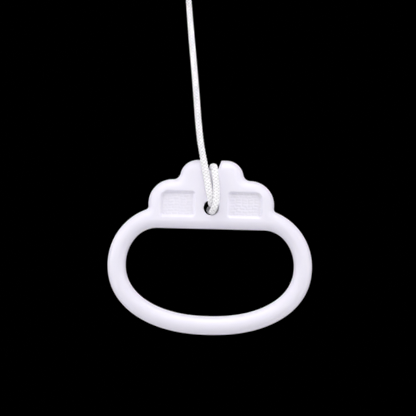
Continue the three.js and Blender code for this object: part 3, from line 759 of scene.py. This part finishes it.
# ------------------------------------------------------------------ switch body
BASE_RADIUS, BASE_BOTTOM = 38.5, -3.0
FIXING_X, FIXING_WIDTH, FIXING_LENGTH = 25.4, 5.0, 10.0
PILLAR_XY, PILLAR_BOTTOM = 21.2, -16.5
BOSS_X, BOSS_Y, BOSS_BOTTOM = 14.5, 6.0, -6.0
CABLE_Y, CABLE_WIDTH, CABLE_DEPTH = -24.0, 20.0, 12.0
EARTH_X, EARTH_Y = 22.0, -14.0
RIM_RADIUS, RIM_TOP = 42.0, -0.4
DOME_TOP, DOME_RADIUS, DOME_DROP, WALL = -7.0, 40.5, 27.0, 2.0
COLLAR_BOTTOM, OUTLET_HOLE, OUTLET_MOUTH = -39.5, 5.5, -41.5
COVER_SEAT = -19.8
TERMINAL_X, TERMINAL_Y, TERMINAL_BOTTOM = 10.0, 30.7, -13.0
SPRING_RADIUS, SPRING_WIRE, SPRING_TOP, SPRING_BOTTOM = 4.2, 0.8, -13.3, -26.7
SPRING_TURNS = 6.4
# Radii of the screw wells inside the cover: the boss round one, its bore, and its clearance hole.
WELL_BOSS, WELL_BORE, WELL_HOLE = 4.9, 3.7, 1.9
COVER_SCREW = {"shank": 1.5, "head": 3.2, "height": 2, "crossed": True}
HOUSING_SCREW = {"shank": 1.1, "head": 2.4, "height": 1.6, "crossed": True}
TERMINAL_SCREW = {"shank": 1.3, "head": 2.6, "height": 1.7, "crossed": False}


def dome(radius, drop, start, end, steps):
    """Profile corners on the cover's elliptical dome, between two radii."""
    angles = np.linspace(math.acos(start / radius), math.acos(end / radius), steps + 1)
    return [(radius * math.cos(a), DOME_TOP - drop * math.sin(a), 0) for a in angles]


def make_cover():
    """The domed cover: a turned shell with its collar, and two screw wells kept inside the dome."""
    inner = DOME_RADIUS - WALL
    outside = dome(DOME_RADIUS, DOME_DROP, DOME_RADIUS - 0.02, 11.4, 44)
    inside = dome(inner, DOME_DROP - WALL, OUTLET_HOLE, inner - 0.02, 30)
    corners = [(40.6, RIM_TOP, 0), (RIM_RADIUS, RIM_TOP, 0.4), (RIM_RADIUS, DOME_TOP, 1.3),
               (DOME_RADIUS, DOME_TOP, 0.45), *outside, (9.2, -33.3, 2.6), (8.3, COLLAR_BOTTOM, 0.8),
               (OUTLET_HOLE, COLLAR_BOTTOM, 0.3), *inside, (inner + 0.7, DOME_TOP + 0.5, 0),
               (inner + 0.7, RIM_TOP, 0.3)]
    shell = turned("cover_shell", filleted(corners), 180)
    bowl = dome(DOME_RADIUS - 0.7, DOME_DROP - 0.7, 1, DOME_RADIUS - 0.7, 24)
    within = turned("within", filleted([(0, DOME_TOP - DOME_DROP + 0.6, 0), *bowl, (0, DOME_TOP, 0)]), 96)
    spots = [(side * PILLAR_XY, side * PILLAR_XY) for side in (-1, 1)]
    bosses = [rod(*spot, (-31, PILLAR_BOTTOM - 0.3), WELL_BOSS) for spot in spots]
    both = combined(bosses[0], "UNION", bosses[1:])
    combined(both, "INTERSECT", [within])
    combined(shell, "UNION", [both])
    bores = [rod(*spot, (-32, COVER_SEAT), WELL_BORE) for spot in spots]
    bores += [rod(*spot, (-22, -14), WELL_HOLE, 40) for spot in spots]
    combined(shell, "DIFFERENCE", bores)
    return softened(shell, 0.35)


def make_outlet():
    """The outlet's tube, which clips into the collar, with a bell mouth for the swinging cord."""
    bore, mouth, bell = 2.3, 4.6, 4.0
    flange = COLLAR_BOTTOM - 0.3
    curve = [(mouth - (mouth - bore) * math.cos(a), OUTLET_MOUTH + bell * (1 - math.sin(a)), 0)
             for a in np.linspace(0, math.pi / 2, 14)]
    corners = [(bore + 0.2, -30.3, 0), (bore, -30.6, 0), *curve, (5.6, OUTLET_MOUTH, 0.9),
               (7.2, OUTLET_MOUTH, 0.9), (7.2, flange, 0.35), (5.2, flange, 0.2), (5.2, -31.4, 0.1),
               (6.0, -31.3, 0.15), (5.5, -30.3, 0.3)]
    return turned("outlet_bell", filleted(corners), 96)


def make_base():
    disc = [(0, BASE_BOTTOM, 0), (BASE_RADIUS, BASE_BOTTOM, 0.8), (BASE_RADIUS, 0, 0.5), (0, 0, 0)]
    plate = turned("base_moulding", filleted(disc), 180)
    raised, holes = [], []
    for side in (-1, 1):
        pillar, boss = side * PILLAR_XY, side * BOSS_X
        raised.append(rod(pillar, pillar, (PILLAR_BOTTOM, BASE_BOTTOM + 1), 3.2))
        raised.append(rod(boss, BOSS_Y, (BOSS_BOTTOM, -2), 3))
        holes.append(rod(pillar, pillar, (PILLAR_BOTTOM - 1, -6), 1.8, 40))
        holes.append(rod(boss, BOSS_Y, (-7, -1.2), 1.4, 40))
        holes.append(rounded_slab(side * FIXING_X, 0, FIXING_WIDTH, FIXING_LENGTH, 2.4, (BASE_BOTTOM - 1, 1)))
    raised.append(block((EARTH_X - 5.3, EARTH_X + 5.3), (EARTH_Y - 3, EARTH_Y + 3), (-9, BASE_BOTTOM + 1)))
    holes.append(block((EARTH_X - 4.3, EARTH_X + 4.3), (EARTH_Y - 5, EARTH_Y + 5), (-10, -6)))
    holes.append(rounded_slab(0, CABLE_Y, CABLE_WIDTH, CABLE_DEPTH, 4, (BASE_BOTTOM - 1, 1)))
    combined(plate, "UNION", raised)
    combined(plate, "DIFFERENCE", holes)
    return softened(plate, 0.3)


def make_grommet():
    def oblong(growth, radius, span):
        return rounded_slab(0, CABLE_Y, CABLE_WIDTH + growth, CABLE_DEPTH + growth, radius, span)

    ring = oblong(3, 5.5, (BASE_BOTTOM - 1.6, BASE_BOTTOM - 0.3))
    neck = oblong(-0.6, 3.7, (BASE_BOTTOM - 0.8, -0.3))
    passage = oblong(-4.4, 2.5, (BASE_BOTTOM - 3, 1))
    ring.name = "grommet_ring"
    combined(ring, "UNION", [neck])
    combined(ring, "DIFFERENCE", [passage])
    return softened(ring, 0.35)


def make_screw(name, at, span, shank, head, height, crossed):
    """A pan-head screw driven upwards. The span is the heights of its seat and its tip.

    Shank and head are radii. The head has one slot, or two that cross.
    """
    seat, tip = span
    corners = [(0, seat - height, 0), (head * 0.62, seat - height, 0.5), (head, seat - height * 0.45, 0.6),
               (head, seat, 0.15), (shank, seat, 0.1), (shank, tip - shank * 0.7, 0.3), (0, tip, 0)]
    screw = turned(name, filleted(corners), 48)
    reach = head * (0.6 if crossed else 1.2)
    depth = (seat - height - 1, seat - height * 0.4)
    slots = [block((-reach, reach), (-0.4, 0.4), depth)]
    if crossed:
        slots.append(block((-0.4, 0.4), (-reach, reach), depth))
    combined(screw, "DIFFERENCE", slots)
    screw.data.transform(Matrix.Translation((at[0] * MM, at[1] * MM, 0)))
    return softened(screw, 0.09, 2)


def make_spring():
    """A wound spring with its end turns closed up flat."""
    t = np.linspace(0, 1, 500)
    wire = SPRING_WIRE / 2
    rise = np.interp(t, (0, 0.13, 0.87, 1), (0, 0.07, 0.93, 1))
    angle = TAU * SPRING_TURNS * t
    height = SPRING_BOTTOM + wire + (SPRING_TOP - SPRING_BOTTOM - 2 * wire) * rise
    centre = np.stack([SPRING_RADIUS * np.cos(angle), SPRING_RADIUS * np.sin(angle), height], axis=1)
    radial = centre * (1, 1, 0) / SPRING_RADIUS
    tangent = unit(np.gradient(centre, axis=0))
    up = np.cross(tangent, radial)
    around = 14
    turn = np.arange(around) * TAU / around
    section = radial[:, None] * np.cos(turn)[None, :, None] + up[:, None] * np.sin(turn)[None, :, None]
    vertices = (centre[:, None] + wire * section).reshape(-1, 3)
    i = np.arange(len(centre) - 1)[:, None] * around
    j = np.arange(around)[None, :]
    k = (j + 1) % around
    faces = np.stack([i + j, i + k, i + around + k, i + around + j], axis=-1).reshape(-1, 4).tolist()
    last = (len(centre) - 1) * around
    faces += [list(range(around)), list(range(last, last + around))]
    return outward(add_mesh("wound_spring", vertices, faces))


def make_switch():
    """The fine pieces of the switch body, as (piece, body, node, slot)."""
    made = [
        (make_cover(), "base", "cover", "moulded_white"),
        (make_outlet(), "base", "cord_outlet", "moulded_white"),
        (make_base(), "base", "base_plate", "moulded_white"),
        (make_grommet(), "base", "cable_grommet", "rubber"),
    ]
    for side, word in ((-1, "left"), (1, "right")):
        at = (side * PILLAR_XY, side * PILLAR_XY)
        screw = make_screw(f"cover_fixing_{word}", at, (COVER_SEAT - 0.3, -8), **COVER_SCREW)
        made.append((screw, "base", f"cover_screw_{word}", "steel"))
        screw = make_screw(f"housing_fixing_{word}", (side * BOSS_X, BOSS_Y), (-9.1, -2), **HOUSING_SCREW)
        made.append((screw, "base", f"housing_screw_{word}", "steel"))
    for node, x in (("open_terminal", 0), ("common_terminal", TERMINAL_X), ("closed_terminal", -TERMINAL_X)):
        span = (TERMINAL_BOTTOM - 0.3, -10.4)
        clamp = make_screw(f"{node}_clamp", (x, TERMINAL_Y), span, **TERMINAL_SCREW)
        made.append((clamp, "base", f"{node}_screw", "steel"))
    earth = make_screw("earth_clamp", (EARTH_X, EARTH_Y), (-11.6, -10.1), **TERMINAL_SCREW)
    made.append((earth, "base", "earth_screw", "steel"))
    section = [(1.7, -10.4, 0), (1.7, -10.7, 0.1), (3.9, -10.7, 0.15), (3.9, -10.1, 0.15), (1.7, -10.1, 0.1)]
    made.append((turned("washer", filleted(section), 64), "cord_top", "knot_washer", "steel"))
    for piece, body, node, _ in made:
        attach(piece, body)
        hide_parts(node)
    spring = make_spring()
    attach(spring, "base")
    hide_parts("return_spring")
    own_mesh(spring)
    made.append((spring, "base", "return_spring", "steel"))
    return made


# The frame's own nodes that are shown, only with softened edges, and the slot of each.
KEPT_NODES = {
    "mechanism_housing": "inner_plastic", "plunger": "inner_plastic", "rocker": "inner_plastic",
    "rocker_pin": "steel", "moving_contact": "brass", "moving_rivet": "silver_contact",
    "closed_rivet": "silver_contact", "open_rivet": "silver_contact", "open_terminal": "brass",
    "common_terminal": "brass", "closed_terminal": "brass", "earth_terminal": "brass",
}


# ------------------------------------------------------------------ materials
# Fine yarn lines round the cord, each way.
YARNS = 48


class Look:
    """A node material: a principled surface with the links that feed it."""

    def __init__(self, name, color, roughness, metallic=0.0):
        self.material = bpy.data.materials.new(name)
        self.material.use_nodes = True
        self.tree = self.material.node_tree
        self.surface = self.tree.nodes["Principled BSDF"]
        self.surface.inputs["Base Color"].default_value = (*color, 1)
        self.surface.inputs["Roughness"].default_value = roughness
        self.surface.inputs["Metallic"].default_value = metallic
        self.color = color

    def node(self, kind, **settings):
        made = self.tree.nodes.new(kind)
        for key, value in settings.items():
            if key in made.inputs:
                made.inputs[key].default_value = value
            else:
                setattr(made, key, value)
        return made

    def link(self, source, output, target, entry):
        self.tree.links.new(source.outputs[output], target.inputs[entry])

    def noise(self, scale, detail=4.0, rough=0.5):
        made = self.node("ShaderNodeTexNoise", Scale=scale, Detail=detail, Roughness=rough)
        self.link(self.node("ShaderNodeTexCoord"), "Object", made, "Vector")
        return made

    def bump(self, source, output, strength, distance):
        """Adds fine relief on top of any that the surface has."""
        made = self.node("ShaderNodeBump", Strength=strength, Distance=distance)
        self.link(source, output, made, "Height")
        existing = self.surface.inputs["Normal"].links
        if existing:
            self.tree.links.new(existing[0].from_socket, made.inputs["Normal"])
        self.link(made, "Normal", self.surface, "Normal")

    def mottle(self, scale, amount):
        """Faint lighter and darker patches in the colour."""
        noise = self.noise(scale)
        ramp = self.node("ShaderNodeValToRGB")
        self.link(noise, "Fac", ramp, "Fac")
        for element, shade in zip(ramp.color_ramp.elements, (1 - amount, 1 + amount * 0.2)):
            element.color = (*[min(1, c * shade) for c in self.color], 1)
        self.link(ramp, "Color", self.surface, "Base Color")

    def vary_roughness(self, scale, low, high):
        noise = self.noise(scale, 6.0, 0.6)
        spread = self.node("ShaderNodeMapRange")
        spread.inputs["To Min"].default_value = low
        spread.inputs["To Max"].default_value = high
        self.link(noise, "Fac", spread, "Value")
        self.link(spread, "Result", self.surface, "Roughness")


def plastic_look(name, color, grain):
    look = Look(name, color, 0.3)
    look.mottle(60, 0.02)
    look.vary_roughness(240, 0.26, 0.38)
    look.bump(look.noise(grain, 3), "Fac", 0.05, 0.0002)
    look.surface.inputs["Subsurface Weight"].default_value = 0.25
    look.surface.inputs["Subsurface Radius"].default_value = (0.004, 0.004, 0.005)
    look.surface.inputs["Subsurface Scale"].default_value = 0.3
    return look.material


def metal_look(name, color, roughness):
    look = Look(name, color, roughness, 1.0)
    look.mottle(90, 0.12)
    look.vary_roughness(420, roughness * 0.8, roughness * 1.4)
    look.bump(look.noise(1600, 2), "Fac", 0.06, 0.0001)
    return look.material


def rubber_look():
    look = Look("rubber", (0.022, 0.022, 0.024), 0.75)
    look.mottle(120, 0.25)
    look.vary_roughness(300, 0.65, 0.85)
    look.bump(look.noise(1100, 4), "Fac", 0.1, 0.0002)
    return look.material


def cord_look():
    """White yarn, with painted shade that greys it in the grooves between the strands, and the yarns' own
    fine lines.
    """
    look = Look("cord", (0.915, 0.906, 0.93), 0.75)
    # Painted shade: the colour falls to grey where the braid's relief is low, in the grooves between the
    # strands.
    relief = look.node("ShaderNodeAttribute", attribute_name="relief")
    ramp = look.node("ShaderNodeValToRGB")
    stops = ramp.color_ramp.elements
    stops[0].position, stops[0].color = 0.1, (0.58, 0.56, 0.58, 1)
    stops[1].position, stops[1].color = 0.62, (*look.color, 1)
    look.link(relief, "Fac", ramp, "Fac")
    look.link(ramp, "Color", look.surface, "Base Color")
    coords = look.node("ShaderNodeUVMap")
    split = look.node("ShaderNodeSeparateXYZ")
    look.link(coords, "UV", split, "Vector")
    for axis in ("X", "Y"):
        wave = look.node("ShaderNodeMath", operation="MULTIPLY")
        wave.inputs[1].default_value = YARNS * TAU
        look.link(split, axis, wave, 0)
        sine = look.node("ShaderNodeMath", operation="SINE")
        look.link(wave, "Value", sine, 0)
        look.bump(sine, "Value", 0.12, 0.00006)
    look.bump(look.noise(2500, 2), "Fac", 0.12, 0.0001)
    look.surface.inputs["Sheen Weight"].default_value = 0.4
    look.surface.inputs["Sheen Roughness"].default_value = 0.4
    return look.material


def make_looks():
    """A material for each of the record's slots."""
    return {
        "moulded_white": plastic_look("moulded_white", (0.82, 0.81, 0.84), 700),
        "handle_white": plastic_look("handle_white", (0.80, 0.775, 0.865), 900),
        "inner_plastic": plastic_look("inner_plastic", (0.72, 0.68, 0.57), 500),
        "rubber": rubber_look(),
        "steel": metal_look("steel", (0.62, 0.62, 0.64), 0.28),
        "brass": metal_look("brass", (0.72, 0.5, 0.2), 0.3),
        "silver_contact": metal_look("silver_contact", (0.8, 0.79, 0.77), 0.22),
        "cord": cord_look(),
    }


def give(piece, material):
    piece.data.materials.clear()
    piece.data.materials.append(material)


# ------------------------------------------------------------------ studio, metres
FLOOR_SIZE, FLOOR_Z = 7, -0.75


def area_light(name, location, target, size, power):
    data = bpy.data.lights.new(name, "AREA")
    data.shape = "RECTANGLE"
    data.size, data.size_y = size
    data.energy = power
    light = bpy.data.objects.new(name, data)
    light.location = location
    aim = Vector(target) - Vector(location)
    light.rotation_euler = aim.to_track_quat("-Z", "Y").to_euler()
    light.visible_camera = False
    bpy.context.scene.collection.objects.link(light)
    return light


def make_studio():
    scene = bpy.context.scene
    scene.view_settings.view_transform = "Standard"
    world = bpy.data.worlds.new("studio")
    world.use_nodes = True
    world.node_tree.nodes["Background"].inputs["Color"].default_value = (0, 0, 0, 1)
    scene.world = world
    target = (0.0095, 0, -0.16)
    area_light("top_softbox", (0.0, -0.35, 0.7), target, (1.0, 0.8), 9.4)
    area_light("left_softbox", (-0.85, -0.3, -0.1), target, (0.7, 1.0), 4.9)
    area_light("right_softbox", (0.87, -0.3, -0.1), target, (0.7, 1.0), 4.4)
    area_light("front_fill", (0.0, -1.6, 0.2), target, (1.6, 1.2), 8.4)
    area_light("low_fill", (0.0, -0.8, -0.6), target, (1.0, 0.5), 0.6)
    # A narrow light on the cord's top, which the switch keeps the top softbox off.
    top_of_cord = (-0.002, 0, -0.028)
    cord_light = area_light("cord_light", (0.2, -0.88, -0.02), top_of_cord, (0.08, 0.08), 0.019)
    cord_light.data.spread = math.radians(12)
    area_light("left_back", (-0.8, 0.95, 0.1), target, (0.9, 1.0), 1.0)
    area_light("right_back", (0.85, 0.95, 0.1), target, (0.9, 1.0), 0.9)
    area_light("back_fill", (0.0, 1.7, 0.1), target, (0.6, 0.6), 3.5)
    bpy.ops.mesh.primitive_plane_add(size=FLOOR_SIZE, location=(0, 0, FLOOR_Z))
    floor = bpy.context.object
    floor.name = "studio_floor"
    look = Look("floor", (0.82, 0.82, 0.83), 0.8)
    look.mottle(3, 0.02)
    give(floor, look.material)


# ------------------------------------------------------------------ build
make_camera()
cords = make_cords()
handle = make_handle()
switch = make_switch()
looks = make_looks()
for piece in cords:
    give(piece, looks["cord"])
give(handle, looks["handle_white"])
for piece, _, _, slot in switch:
    give(piece, looks[slot])
for name, slot in KEPT_NODES.items():
    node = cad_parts[name]
    give(node, looks[slot])
    softened(node, 0.2)
make_studio()
